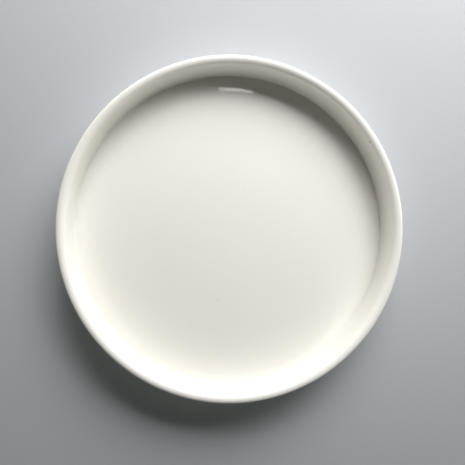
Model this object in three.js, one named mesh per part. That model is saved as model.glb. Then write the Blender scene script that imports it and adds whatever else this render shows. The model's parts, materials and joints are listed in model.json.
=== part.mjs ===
// A round porcelain plate: a flat well inside a low upright wall with a rolled lip, on a turned foot ring.
// It is a fired body under two coats of glaze, one over the top and the outside and one inside the foot.
// The bearing edge of the foot ring is bare. Millimetres, +Z up, with the origin on the axis at table level.
import * as THREE from "three";

// The glazed plate
const RIM_RADIUS = 105; // axis to the outermost edge of the lip
const PLATE_HEIGHT = 27; // table to the crest of the lip
const WELL_DEPTH = 19.5; // crest of the lip down to the well
const BASE_THICKNESS = 5; // well down to the underside
const INNER_DRAFT = 5; // degrees that the inner face of the wall leans outwards
const OUTER_DRAFT = 9; // degrees that the outer face of the wall leans outwards
const COVE_RADIUS = 1; // rounding between the well and the wall
const LIP_INNER_RADIUS = 3.6; // rounding of the lip towards the well
const LIP_OUTER_RADIUS = 1.8; // rounding of the lip towards the outside
const HEEL_RADIUS = 7; // rounding between the outer face of the wall and the underside

// The foot ring, without its glaze
const FOOT_RADIUS = 78; // axis to the middle of the ring
const FOOT_WIDTH = 4; // across the ring near the table
const FOOT_FLARE = 1; // how much wider each side of the ring is where it meets the underside
const FOOT_EDGE_RADIUS = 0.6; // rounding of the two edges of the bearing face

// The glaze
const GLAZE_THICKNESS = 0.4;
const BARE_HEIGHT = 1; // table up to where the glaze stops on both sides of the foot ring

// Facets
const SEGMENTS = 96; // around the axis
const WIDE_ARC_STEPS = 6; // on the cove and the heel
const LIP_ARC_STEPS = 4; // on each rounding of the lip
const EDGE_ARC_STEPS = 2; // on each edge of the bearing face

const UNDERSIDE = PLATE_HEIGHT - WELL_DEPTH - BASE_THICKNESS; // height of the underside above the table
const WELL = PLATE_HEIGHT - WELL_DEPTH; // height of the well above the table

// Points of an arc in the section plane from one angle to another in degrees, both ends included
function arc(centreR, centreZ, radius, from, to, steps) {
  return Array.from({ length: steps + 1 }, (_, i) => {
    const angle = THREE.MathUtils.degToRad(from + ((to - from) * i) / steps);
    return new THREE.Vector2(centreR + radius * Math.cos(angle), centreZ + radius * Math.sin(angle));
  });
}

// The section round the heel, up the outer face, over the lip, down the inner face and through the cove,
// at a depth below the glazed surface. Each straight stretch touches the roundings at both its ends.
function wallSection(depth) {
  const inner = THREE.MathUtils.degToRad(INNER_DRAFT);
  const outer = THREE.MathUtils.degToRad(OUTER_DRAFT);
  const crestR = RIM_RADIUS - LIP_OUTER_RADIUS;
  const lipOuterZ = PLATE_HEIGHT - LIP_OUTER_RADIUS;
  const lipInnerZ = PLATE_HEIGHT - LIP_INNER_RADIUS;
  const heelZ = UNDERSIDE + HEEL_RADIUS;
  const heelR =
    crestR + (LIP_OUTER_RADIUS - HEEL_RADIUS) / Math.cos(outer) - (lipOuterZ - heelZ) * Math.tan(outer);
  const coveZ = WELL + COVE_RADIUS;
  const coveR =
    crestR - (LIP_INNER_RADIUS + COVE_RADIUS) / Math.cos(inner) - (lipInnerZ - coveZ) * Math.tan(inner);
  return [
    ...arc(heelR, heelZ, HEEL_RADIUS - depth, -90, -OUTER_DRAFT, WIDE_ARC_STEPS),
    ...arc(crestR, lipOuterZ, LIP_OUTER_RADIUS - depth, -OUTER_DRAFT, 0, 1),
    ...arc(crestR, lipOuterZ, LIP_OUTER_RADIUS - depth, 0, 90, LIP_ARC_STEPS).slice(1),
    ...arc(crestR, lipInnerZ, LIP_INNER_RADIUS - depth, 90, 180 - INNER_DRAFT, LIP_ARC_STEPS).slice(1),
    ...arc(coveR, coveZ, COVE_RADIUS + depth, -INNER_DRAFT, -90, WIDE_ARC_STEPS),
  ];
}

// A point on one side of the foot ring, 1 for the outer side and -1 for the inner, glazed or bare
function footSide(side, height, coat) {
  const climb = (height - FOOT_EDGE_RADIUS) / (UNDERSIDE - FOOT_EDGE_RADIUS);
  const reach = FOOT_WIDTH / 2 + FOOT_FLARE * climb + coat;
  return new THREE.Vector2(FOOT_RADIUS + side * reach, height);
}

// The side of the ring from the glaze line up to the underside, at the glaze's own surface or below it
function glazedFootSide(side, depth) {
  const coat = GLAZE_THICKNESS - depth;
  return [footSide(side, BARE_HEIGHT, coat), footSide(side, UNDERSIDE + depth, coat)];
}

// The bare end of the ring that the plate stands on, from its inner edge to its outer edge
function bearingFace() {
  const centre = FOOT_WIDTH / 2 - FOOT_EDGE_RADIUS;
  const radius = FOOT_EDGE_RADIUS;
  return [
    ...arc(FOOT_RADIUS - centre, radius, radius, 180, 270, EDGE_ARC_STEPS),
    ...arc(FOOT_RADIUS + centre, radius, radius, 270, 360, EDGE_ARC_STEPS),
  ];
}

function onAxis(height) {
  return new THREE.Vector2(0, height);
}

// A named solid of revolution. The lathe turns about its own Y axis, which is then stood up along Z.
function turned(name, section, material) {
  const mesh = new THREE.Mesh(new THREE.LatheGeometry(section, SEGMENTS), material);
  mesh.geometry.rotateX(Math.PI / 2);
  mesh.name = name;
  return mesh;
}

const porcelain = new THREE.MeshStandardMaterial({ color: 0xe4dfd3, roughness: 0.75, metalness: 0 });
const glaze = new THREE.MeshStandardMaterial({ color: 0xf2efe7, roughness: 0.08, metalness: 0 });

const bodySection = [
  onAxis(UNDERSIDE + GLAZE_THICKNESS),
  ...glazedFootSide(-1, GLAZE_THICKNESS).reverse(),
  ...bearingFace(),
  ...glazedFootSide(1, GLAZE_THICKNESS),
  ...wallSection(GLAZE_THICKNESS),
  onAxis(WELL - GLAZE_THICKNESS),
];

const outerGlazeSection = [
  onAxis(WELL - GLAZE_THICKNESS),
  ...wallSection(GLAZE_THICKNESS).reverse(),
  ...glazedFootSide(1, GLAZE_THICKNESS).reverse(),
  ...glazedFootSide(1, 0),
  ...wallSection(0),
  onAxis(WELL),
];

const recessGlazeSection = [
  onAxis(UNDERSIDE),
  ...glazedFootSide(-1, 0).reverse(),
  ...glazedFootSide(-1, GLAZE_THICKNESS),
  onAxis(UNDERSIDE + GLAZE_THICKNESS),
];

const plate = new THREE.Group();
plate.add(turned("porcelain_body", bodySection, porcelain));
plate.add(turned("outer_glaze", outerGlazeSection, glaze));
plate.add(turned("foot_recess_glaze", recessGlazeSection, glaze));

export default plate;
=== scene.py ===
"""A round porcelain plate under a glossy white glaze, seen from above in the light of one large window.

The plate is three pieces: the fired body, the coat of glaze over the top and the outside, and the coat
inside the foot ring. Each is drawn as a section, rounded at its corners and turned about the axis. Metres.
"""
import json
import math

import bpy
from mathutils import Matrix, Vector


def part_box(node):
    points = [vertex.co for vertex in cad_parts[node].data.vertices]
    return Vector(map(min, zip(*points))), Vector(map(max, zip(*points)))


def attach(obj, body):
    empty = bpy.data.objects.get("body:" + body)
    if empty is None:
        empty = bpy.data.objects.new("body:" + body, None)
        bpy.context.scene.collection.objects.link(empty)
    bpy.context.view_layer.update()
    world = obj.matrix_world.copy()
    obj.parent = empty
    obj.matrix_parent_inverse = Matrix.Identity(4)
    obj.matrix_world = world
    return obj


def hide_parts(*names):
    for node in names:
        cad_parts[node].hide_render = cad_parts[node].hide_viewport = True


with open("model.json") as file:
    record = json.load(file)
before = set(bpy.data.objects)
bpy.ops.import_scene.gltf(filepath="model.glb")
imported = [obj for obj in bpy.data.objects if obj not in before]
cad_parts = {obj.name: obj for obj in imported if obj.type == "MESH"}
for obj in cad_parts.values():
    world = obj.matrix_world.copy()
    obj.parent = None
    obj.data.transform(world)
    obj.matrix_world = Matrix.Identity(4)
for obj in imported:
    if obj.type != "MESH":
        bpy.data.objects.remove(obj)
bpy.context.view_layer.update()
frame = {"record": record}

# The glazed plate. The frame gives its outer size and the height of its well.
MOUNT_PLACES = {mount["name"]: Vector(mount["pos_m"]) for mount in frame["record"]["mounts"]}
RIM_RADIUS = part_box("outer_glaze")[1].x
PLATE_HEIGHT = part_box("outer_glaze")[1].z
WELL = MOUNT_PLACES["well_floor"].z
INNER_DRAFT = math.radians(5)
OUTER_DRAFT = math.radians(9)
COVE_RADIUS = 0.001
LIP_INNER_RADIUS = 0.0036
LIP_OUTER_RADIUS = 0.0018
HEEL_RADIUS = 0.007

# The glaze stops short of the table on both sides of the foot ring, and inside the ring it is a coat apart.
GLAZE_THICKNESS = 0.0004
GLAZE_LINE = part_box("foot_recess_glaze")[0].z
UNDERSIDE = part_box("foot_recess_glaze")[1].z - GLAZE_THICKNESS
GLAZE_EDGE_RADIUS = 0.0003

# The foot ring
FOOT_RADIUS = MOUNT_PLACES["foot_ring"].x
FOOT_WIDTH = 0.004
FOOT_FLARE = 0.001
FOOT_EDGE_RADIUS = 0.0006
FOOT_ROOT_RADIUS = 0.0008

# Specks in the glaze, each a place, a radius and a colour
FAINT_SPECK = (0.86, 0.84, 0.79)
DARK_SPECK = (0.68, 0.65, 0.62)
SPECKS = [
    ((-0.0091, -0.045, 0.0075), 0.0008, FAINT_SPECK),
    ((0.0463, -0.0304, 0.0075), 0.0006, FAINT_SPECK),
    ((0.0075, 0.0267, 0.0075), 0.0006, FAINT_SPECK),
    ((0.0838, 0.0544, 0.0248), 0.0009, DARK_SPECK),
]

# The glaze. A pattern is a number of clouds to the metre and their levels of detail, and a span is the part
# of the clouds' shades that runs from one look to the other.
TINT_CLOUDS = (18, 3)
TINT_SPAN = (0.35, 0.65)
GLAZE_DARKER = (0.948, 0.927, 0.868)
GLAZE_PALER = (0.955, 0.937, 0.882)
GLOSS_CLOUDS = (60, 2)
GLOSS_SPAN = (0.3, 0.7)
GLAZE_ROUGHNESS = (0.02, 0.04)
GLAZE_IOR = 1.5
RIPPLES = (90, 1)
RIPPLE_HEIGHT = 0.0005
RIPPLE_STRENGTH = 0.05

# The bare porcelain
WEAR_PATCHES = (140, 6)
WEAR_SPAN = (0.45, 0.7)
PORCELAIN_CLEAN = (0.82, 0.79, 0.73)
PORCELAIN_WORN = (0.72, 0.69, 0.63)
PORCELAIN_ROUGHNESS = 0.75
GRAINS = (3500, 2)
GRAIN_HEIGHT = 0.0001
GRAIN_STRENGTH = 0.3

# How finely the pieces are turned and rounded. A rounding up to the small one takes the fewer steps.
TURN_STEPS = 256
SMALL_ROUNDING = 0.0012
SMALL_ROUNDING_STEPS = 8
WIDE_ROUNDING_STEPS = 14
SMOOTH_UP_TO = math.radians(40)
SAME_PLACE = 0.000002

# The camera looks down a little aslant, from one side. What is measured in the image is in its pixels.
IMAGE_SIZE = 465
LIP_CENTRE_IN_IMAGE = Vector((229.14, 229.06))
LIP_RADIUS_IN_IMAGE = 174.8
FOCAL_LENGTH_IN_IMAGE = 470
CAMERA_SLANT = math.radians(5.6)
CAMERA_SIDE = math.radians(172)
SENSOR_WIDTH_MM = 36
NEAREST_SEEN = 0.01

# The window is one large soft light, low on the far side. The strip lamp hangs high up beyond the far edge.
WINDOW_SIDE = math.radians(69.2)
WINDOW_ELEVATION = math.radians(34.4)
WINDOW_DISTANCE = 0.66
WINDOW_AIM = Vector((0.074, 0.16, 0))
WINDOW_ANGLE_WIDE = math.radians(53.4)
WINDOW_ANGLE_HIGH = math.radians(35.2)
WINDOW_RADIANCE = 11.8
STRIP_PLACE = Vector((0.0614, 0.2538, 0.58))
STRIP_TURN = math.radians(-5)
STRIP_LENGTH = 0.064
STRIP_WIDTH = 0.006
STRIP_RADIANCE = 9.5
LAMP_SPREAD = math.radians(98)
LAMP_COLOUR = (1.0, 0.99, 0.99)

# The room lights the plate from walls that are brightest level with it. The glaze mirrors the backdrop in
# place of them, and the camera sees only the backdrop. Tops and the foot are sines of angles off the level.
ROOM_COLOUR = (0.965, 1.0, 0.94)
CEILING_STRENGTH = 0.005
WALLS_STRENGTH = 2.15
WALLS_TOP = 0.326
WALLS_FOOT = 0.02
GROUND_STRENGTH = 0.4
BACKDROP_COLOUR = (0.93, 0.97, 1.0)
BACKDROP_STRENGTH = 0.8
BACKDROP_TOP = 0.15

# The floor is whole up to one distance from the axis and has faded into the backdrop at another.
FLOOR_COLOUR = (0.50, 0.52, 0.54)
FLOOR_ROUGHNESS = 0.9
FLOOR_SPECULAR = 0.2
FLOOR_SIZE = 8
FLOOR_WHOLE = 0.22
FLOOR_GONE = 0.65


def inner_face(depth):
    """The inner face's two corners at a depth below the glaze's surface: beside the well and at the lip."""
    # A sharp corner lies this far from where its rounding starts, for each metre of the rounding's radius
    swing = math.tan((math.pi / 2 - INNER_DRAFT) / 2)
    top = PLATE_HEIGHT - depth
    floor = WELL - depth
    lip = RIM_RADIUS - LIP_OUTER_RADIUS - (LIP_INNER_RADIUS - depth) * swing
    well = lip - (top - floor) * math.tan(INNER_DRAFT)
    return [(well, floor, COVE_RADIUS + depth), (lip, top, LIP_INNER_RADIUS - depth)]


def outer_face(depth):
    """The outer face's two corners at a depth below the glaze's surface: at the lip and at the heel."""
    swing = math.tan((math.pi / 2 + OUTER_DRAFT) / 2)
    top = PLATE_HEIGHT - depth
    underside = UNDERSIDE + depth
    lip = RIM_RADIUS - LIP_OUTER_RADIUS + (LIP_OUTER_RADIUS - depth) * swing
    heel = lip - (top - underside) * math.tan(OUTER_DRAFT)
    return [(lip, top, LIP_OUTER_RADIUS - depth), (heel, underside, HEEL_RADIUS - depth)]


def foot_face(side, depth):
    """The foot ring's outer side (1) or inner side (-1), from its root down to the glaze line."""
    coat = GLAZE_THICKNESS - depth
    climb = (GLAZE_LINE - FOOT_EDGE_RADIUS) / (UNDERSIDE - FOOT_EDGE_RADIUS)
    root = FOOT_WIDTH / 2 + FOOT_FLARE + coat
    line = FOOT_WIDTH / 2 + FOOT_FLARE * climb + coat
    return [
        (FOOT_RADIUS + side * root, UNDERSIDE + depth, FOOT_ROOT_RADIUS),
        (FOOT_RADIUS + side * line, GLAZE_LINE, GLAZE_EDGE_RADIUS if coat > 0 else 0),
    ]


def bearing_face():
    """The bare end of the foot ring that the plate stands on, from its outer edge to its inner edge."""
    half = FOOT_WIDTH / 2
    return [
        (FOOT_RADIUS + half, 0, FOOT_EDGE_RADIUS),
        (FOOT_RADIUS - half, 0, FOOT_EDGE_RADIUS),
    ]


def draw_section(name, corners):
    """Draws a wire through the corners in the plane of X and Z, each a radius, a height and a rounding."""
    # The plane is merged into the one point that the wire is drawn from
    bpy.ops.object.select_all(action="DESELECT")
    bpy.ops.mesh.primitive_plane_add(size=GLAZE_THICKNESS, location=(0, 0, 0))
    piece = bpy.context.object
    piece.name = name
    piece.data.name = name
    points = [Vector((radius, 0, height)) for radius, height, _ in corners]
    bpy.ops.object.mode_set(mode="EDIT")
    bpy.ops.mesh.merge(type="CENTER")
    bpy.ops.transform.translate(value=points[0])
    for start, end in zip(points, points[1:]):
        bpy.ops.mesh.extrude_region_move(TRANSFORM_OT_translate={"value": end - start})
    bpy.ops.object.mode_set(mode="OBJECT")
    for before, corner, after, (_, _, rounding) in zip(points, points[1:], points[2:], corners[1:]):
        if rounding:
            turn = (corner - before).angle(after - corner)
            round_corner(piece, corner, rounding, rounding * math.tan(turn / 2))
    return piece


def round_corner(piece, corner, rounding, reach):
    """Rounds the wire's corner at a place, reaching so far along both stretches that meet there."""
    for edge in piece.data.edges:
        edge.select = False
    for vertex in piece.data.vertices:
        vertex.select = (vertex.co - corner).length < SAME_PLACE
    steps = SMALL_ROUNDING_STEPS if rounding <= SMALL_ROUNDING else WIDE_ROUNDING_STEPS
    bpy.ops.object.mode_set(mode="EDIT")
    bpy.ops.mesh.select_mode(type="VERT")
    bpy.ops.mesh.bevel(offset=reach, segments=steps, affect="VERTICES", profile=0.5)
    bpy.ops.object.mode_set(mode="OBJECT")


def turn_about_axis(piece):
    """Turns a section that starts and ends on the axis into a closed, smooth solid."""
    bpy.ops.object.mode_set(mode="EDIT")
    bpy.ops.mesh.select_all(action="SELECT")
    bpy.ops.mesh.spin(steps=TURN_STEPS, angle=2 * math.pi, center=(0, 0, 0), axis=(0, 0, 1))
    bpy.ops.mesh.select_all(action="SELECT")
    bpy.ops.mesh.remove_doubles(threshold=SAME_PLACE)
    bpy.ops.mesh.normals_make_consistent(inside=False)
    bpy.ops.object.mode_set(mode="OBJECT")
    bpy.ops.object.shade_smooth_by_angle(angle=SMOOTH_UP_TO)
    bpy.ops.object.modifier_add(type="WEIGHTED_NORMAL")
    piece.modifiers[-1].keep_sharp = True
    bpy.ops.object.modifier_apply(modifier=piece.modifiers[-1].name)


def make_outer_glaze():
    """The coat over the well, the wall, the lip, the outside and the underside as far as the foot ring."""
    under = [*inner_face(GLAZE_THICKNESS), *outer_face(GLAZE_THICKNESS), *foot_face(1, GLAZE_THICKNESS)]
    over = [*inner_face(0), *outer_face(0), *foot_face(1, 0)]
    corners = [(0, WELL, 0), *over, *reversed(under), (0, WELL - GLAZE_THICKNESS, 0)]
    piece = draw_section("outer_glaze_coat", corners)
    turn_about_axis(piece)
    return piece


def make_recess_glaze():
    """The coat inside the foot ring, which the bare edge of the ring parts from the other."""
    under = foot_face(-1, GLAZE_THICKNESS)
    over = foot_face(-1, 0)
    corners = [(0, UNDERSIDE, 0), *over, *reversed(under), (0, UNDERSIDE + GLAZE_THICKNESS, 0)]
    piece = draw_section("foot_recess_coat", corners)
    turn_about_axis(piece)
    return piece


def make_body():
    """The fired porcelain, whose only bare part is the end of the foot ring."""
    depth = GLAZE_THICKNESS
    top = [*inner_face(depth), *outer_face(depth), *foot_face(1, depth)]
    foot = [*bearing_face(), *reversed(foot_face(-1, depth))]
    corners = [(0, WELL - depth, 0), *top, *foot, (0, UNDERSIDE + depth, 0)]
    piece = draw_section("fired_body", corners)
    turn_about_axis(piece)
    return piece


def new_material(name):
    """A node material with nothing but its shader, and the lists that more nodes and links go into."""
    material = bpy.data.materials.new(name)
    material.use_nodes = True
    return material, material.node_tree.nodes, material.node_tree.links


def object_coordinates(nodes):
    return nodes.new("ShaderNodeTexCoord").outputs["Object"]


def cloudy(nodes, links, place, pattern):
    """Soft random clouds, of a pattern that gives their number to the metre and their levels of detail."""
    noise = nodes.new("ShaderNodeTexNoise")
    noise.inputs["Scale"].default_value, noise.inputs["Detail"].default_value = pattern
    links.new(place, noise.inputs["Vector"])
    return noise.outputs["Fac"]


def ranged(nodes, links, value, from_low, from_high, to_low, to_high):
    """Maps a value from one range to another and stops at the ends."""
    node = nodes.new("ShaderNodeMapRange")
    node.inputs["From Min"].default_value = from_low
    node.inputs["From Max"].default_value = from_high
    node.inputs["To Min"].default_value = to_low
    node.inputs["To Max"].default_value = to_high
    links.new(value, node.inputs["Value"])
    return node.outputs["Result"]


def smaller(nodes, links, first, second):
    """The smaller of two other nodes' outputs."""
    node = nodes.new("ShaderNodeMath")
    node.operation = "MINIMUM"
    links.new(first, node.inputs[0])
    links.new(second, node.inputs[1])
    return node.outputs["Value"]


def distance_from(nodes, links, place, spot):
    """How far every place is from a spot."""
    node = nodes.new("ShaderNodeVectorMath")
    node.operation = "DISTANCE"
    node.inputs[1].default_value = spot
    links.new(place, node.inputs[0])
    return node.outputs["Value"]


def chosen(nodes, links, factor, first, second):
    """Mixes two values, each a number or another node's output, by a factor."""
    mix = nodes.new("ShaderNodeMix")
    links.new(factor, mix.inputs[0])
    for entry, value in ((mix.inputs[2], first), (mix.inputs[3], second)):
        if isinstance(value, float):
            entry.default_value = value
        else:
            links.new(value, entry)
    return mix.outputs[0]


def blended(nodes, links, factor, first, second):
    """Mixes two colours, each a value or another node's output, by a factor."""
    mix = nodes.new("ShaderNodeMix")
    mix.data_type = "RGBA"
    links.new(factor, mix.inputs["Factor"])
    for socket, colour in (("A", first), ("B", second)):
        entry = next(s for s in mix.inputs if s.name == socket and s.type == "RGBA")
        if isinstance(colour, tuple):
            entry.default_value = (*colour, 1)
        else:
            links.new(colour, entry)
    return next(s for s in mix.outputs if s.type == "RGBA")


def speckled(nodes, links, place, tint):
    """Puts the specks of the glaze over a colour, each soft at its edge."""
    for spot, radius, colour in SPECKS:
        near = ranged(nodes, links, distance_from(nodes, links, place, spot), radius / 2, radius, 1, 0)
        tint = blended(nodes, links, near, tint, colour)
    return tint


def roughen(nodes, links, shader, bumps, height, strength):
    """Shades a surface as if clouds raised it by up to a height, with a strength from 0 to 1."""
    bump = nodes.new("ShaderNodeBump")
    bump.inputs["Distance"].default_value = height
    bump.inputs["Strength"].default_value = strength
    links.new(bumps, bump.inputs["Height"])
    links.new(bump.outputs["Normal"], shader.inputs["Normal"])


def glossy_glaze():
    """A clear glaze over warm white porcelain, with faint clouds, specks and a soft ripple."""
    material, nodes, links = new_material("glossy_glaze")
    shader = nodes["Principled BSDF"]
    place = object_coordinates(nodes)
    clouds = ranged(nodes, links, cloudy(nodes, links, place, TINT_CLOUDS), *TINT_SPAN, 0, 1)
    tint = blended(nodes, links, clouds, GLAZE_DARKER, GLAZE_PALER)
    links.new(speckled(nodes, links, place, tint), shader.inputs["Base Color"])
    gloss = cloudy(nodes, links, place, GLOSS_CLOUDS)
    links.new(ranged(nodes, links, gloss, *GLOSS_SPAN, *GLAZE_ROUGHNESS), shader.inputs["Roughness"])
    shader.inputs["IOR"].default_value = GLAZE_IOR
    roughen(nodes, links, shader, cloudy(nodes, links, place, RIPPLES), RIPPLE_HEIGHT, RIPPLE_STRENGTH)
    return material


def bare_porcelain():
    """Unglazed porcelain, matt and finely grained, greyed a little where it rubs on tables."""
    material, nodes, links = new_material("bare_porcelain")
    shader = nodes["Principled BSDF"]
    place = object_coordinates(nodes)
    wear = ranged(nodes, links, cloudy(nodes, links, place, WEAR_PATCHES), *WEAR_SPAN, 0, 1)
    tint = blended(nodes, links, wear, PORCELAIN_CLEAN, PORCELAIN_WORN)
    links.new(tint, shader.inputs["Base Color"])
    shader.inputs["Roughness"].default_value = PORCELAIN_ROUGHNESS
    roughen(nodes, links, shader, cloudy(nodes, links, place, GRAINS), GRAIN_HEIGHT, GRAIN_STRENGTH)
    return material


def add_floor():
    """A plain pale floor under the plate, which fades into the backdrop away from it."""
    bpy.ops.object.select_all(action="DESELECT")
    bpy.ops.mesh.primitive_plane_add(size=FLOOR_SIZE, location=(0, 0, 0))
    floor = bpy.context.object
    floor.name = "floor"
    material, nodes, links = new_material("pale_floor")
    shader = nodes["Principled BSDF"]
    shader.inputs["Base Color"].default_value = (*FLOOR_COLOUR, 1)
    shader.inputs["Roughness"].default_value = FLOOR_ROUGHNESS
    shader.inputs["Specular IOR Level"].default_value = FLOOR_SPECULAR
    distance = distance_from(nodes, links, object_coordinates(nodes), (0, 0, 0))
    fade = ranged(nodes, links, distance, FLOOR_WHOLE, FLOOR_GONE, 0, 1)
    mix = nodes.new("ShaderNodeMixShader")
    links.new(fade, mix.inputs["Fac"])
    links.new(shader.outputs["BSDF"], mix.inputs[1])
    links.new(nodes.new("ShaderNodeBsdfTransparent").outputs["BSDF"], mix.inputs[2])
    links.new(mix.outputs["Shader"], nodes["Material Output"].inputs["Surface"])
    floor.data.materials.append(material)


def place_facing(thing, place, right, back):
    """Puts a camera or a light at a place, with its own X along right and its own Z along back."""
    turn = Matrix((right, back.cross(right), back)).transposed()
    thing.matrix_world = Matrix.Translation(place) @ turn.to_4x4()


def add_panel(name, place, right, back, width, height, radiance):
    """A soft rectangular light that the camera doesn't see, with a given radiance straight ahead."""
    light = bpy.data.lights.new(name, "AREA")
    light.shape = "RECTANGLE"
    light.size = width
    light.size_y = height
    light.color = LAMP_COLOUR
    light.spread = LAMP_SPREAD
    # A narrower spread makes Blender's light brighter straight ahead, and the last factor takes that back
    half = LAMP_SPREAD / 2
    light.energy = radiance * width * height * math.pi * (1 - half / math.tan(half))
    panel = bpy.data.objects.new(name, light)
    bpy.context.scene.collection.objects.link(panel)
    place_facing(panel, place, right, back)
    panel.visible_camera = False


def add_lamps():
    """The large window that lights the plate, and a thin strip high up that glints in the glaze."""
    place = WINDOW_DISTANCE * Vector((
        math.cos(WINDOW_ELEVATION) * math.cos(WINDOW_SIDE),
        math.cos(WINDOW_ELEVATION) * math.sin(WINDOW_SIDE),
        math.sin(WINDOW_ELEVATION),
    ))
    back = (place - WINDOW_AIM).normalized()
    right = Vector((0, 0, 1)).cross(back).normalized()
    width = 2 * WINDOW_DISTANCE * math.tan(WINDOW_ANGLE_WIDE / 2)
    height = 2 * WINDOW_DISTANCE * math.tan(WINDOW_ANGLE_HIGH / 2)
    add_panel("window", place, right, back, width, height, WINDOW_RADIANCE)
    along = Vector((math.cos(STRIP_TURN), math.sin(STRIP_TURN), 0))
    add_panel("strip_lamp", STRIP_PLACE, along, Vector((0, 0, 1)), STRIP_LENGTH, STRIP_WIDTH, STRIP_RADIANCE)


def light_room():
    """Soft light from pale walls under a dim ceiling, and a pale backdrop for the glaze and the camera."""
    world = bpy.data.worlds.new("room")
    bpy.context.scene.world = world
    world.use_nodes = True
    nodes, links = world.node_tree.nodes, world.node_tree.links
    background = nodes["Background"]
    direction = nodes.new("ShaderNodeSeparateXYZ")
    links.new(nodes.new("ShaderNodeTexCoord").outputs["Generated"], direction.inputs[0])
    height = direction.outputs["Z"]
    walls = ranged(nodes, links, height, 0, WALLS_TOP, WALLS_STRENGTH, CEILING_STRENGTH)
    ground = ranged(nodes, links, height, -WALLS_FOOT, 0, GROUND_STRENGTH, WALLS_STRENGTH)
    room = smaller(nodes, links, walls, ground)
    backdrop = ranged(nodes, links, height, 0, BACKDROP_TOP, BACKDROP_STRENGTH, CEILING_STRENGTH)
    ray = nodes.new("ShaderNodeLightPath").outputs
    strength = chosen(nodes, links, ray["Is Glossy Ray"], room, backdrop)
    strength = chosen(nodes, links, ray["Is Camera Ray"], strength, BACKDROP_STRENGTH)
    links.new(strength, background.inputs["Strength"])
    colour = blended(nodes, links, ray["Is Camera Ray"], ROOM_COLOUR, BACKDROP_COLOUR)
    links.new(colour, background.inputs["Color"])


def add_camera():
    """The camera above the plate, at the distance and the aim that put the lip's circle where it is."""
    data = bpy.data.cameras.new("camera")
    data.sensor_width = SENSOR_WIDTH_MM
    data.lens = FOCAL_LENGTH_IN_IMAGE / IMAGE_SIZE * SENSOR_WIDTH_MM
    data.clip_start = NEAREST_SEEN
    camera = bpy.data.objects.new("camera", data)
    bpy.context.scene.collection.objects.link(camera)
    back = Vector((
        math.sin(CAMERA_SLANT) * math.cos(CAMERA_SIDE),
        math.sin(CAMERA_SLANT) * math.sin(CAMERA_SIDE),
        math.cos(CAMERA_SLANT),
    ))
    right = Vector((0, 1, 0)).cross(back).normalized()
    metres_per_pixel = RIM_RADIUS / LIP_RADIUS_IN_IMAGE
    distance = FOCAL_LENGTH_IN_IMAGE * metres_per_pixel * (1 + math.cos(CAMERA_SLANT)) / 2
    # The half of the slanted lip that is nearer looks larger, which moves its outline to the camera's side
    lean = RIM_RADIUS**2 * math.sin(CAMERA_SLANT) / distance
    aim = Vector((
        (IMAGE_SIZE / 2 - LIP_CENTRE_IN_IMAGE.x) * metres_per_pixel + lean * math.cos(CAMERA_SIDE),
        (LIP_CENTRE_IN_IMAGE.y - IMAGE_SIZE / 2) * metres_per_pixel + lean * math.sin(CAMERA_SIDE),
        PLATE_HEIGHT,
    ))
    place_facing(camera, aim + back * distance, right, back)
    bpy.context.scene.camera = camera


def finish_piece(piece, material, node):
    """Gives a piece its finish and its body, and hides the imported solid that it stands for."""
    piece.data.materials.append(material)
    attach(piece, "root")
    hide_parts(node)


glaze = glossy_glaze()
finish_piece(make_body(), bare_porcelain(), "porcelain_body")
finish_piece(make_outer_glaze(), glaze, "outer_glaze")
finish_piece(make_recess_glaze(), glaze, "foot_recess_glaze")
add_floor()
add_lamps()
light_room()
add_camera()
bpy.context.scene.view_settings.view_transform = "Standard"
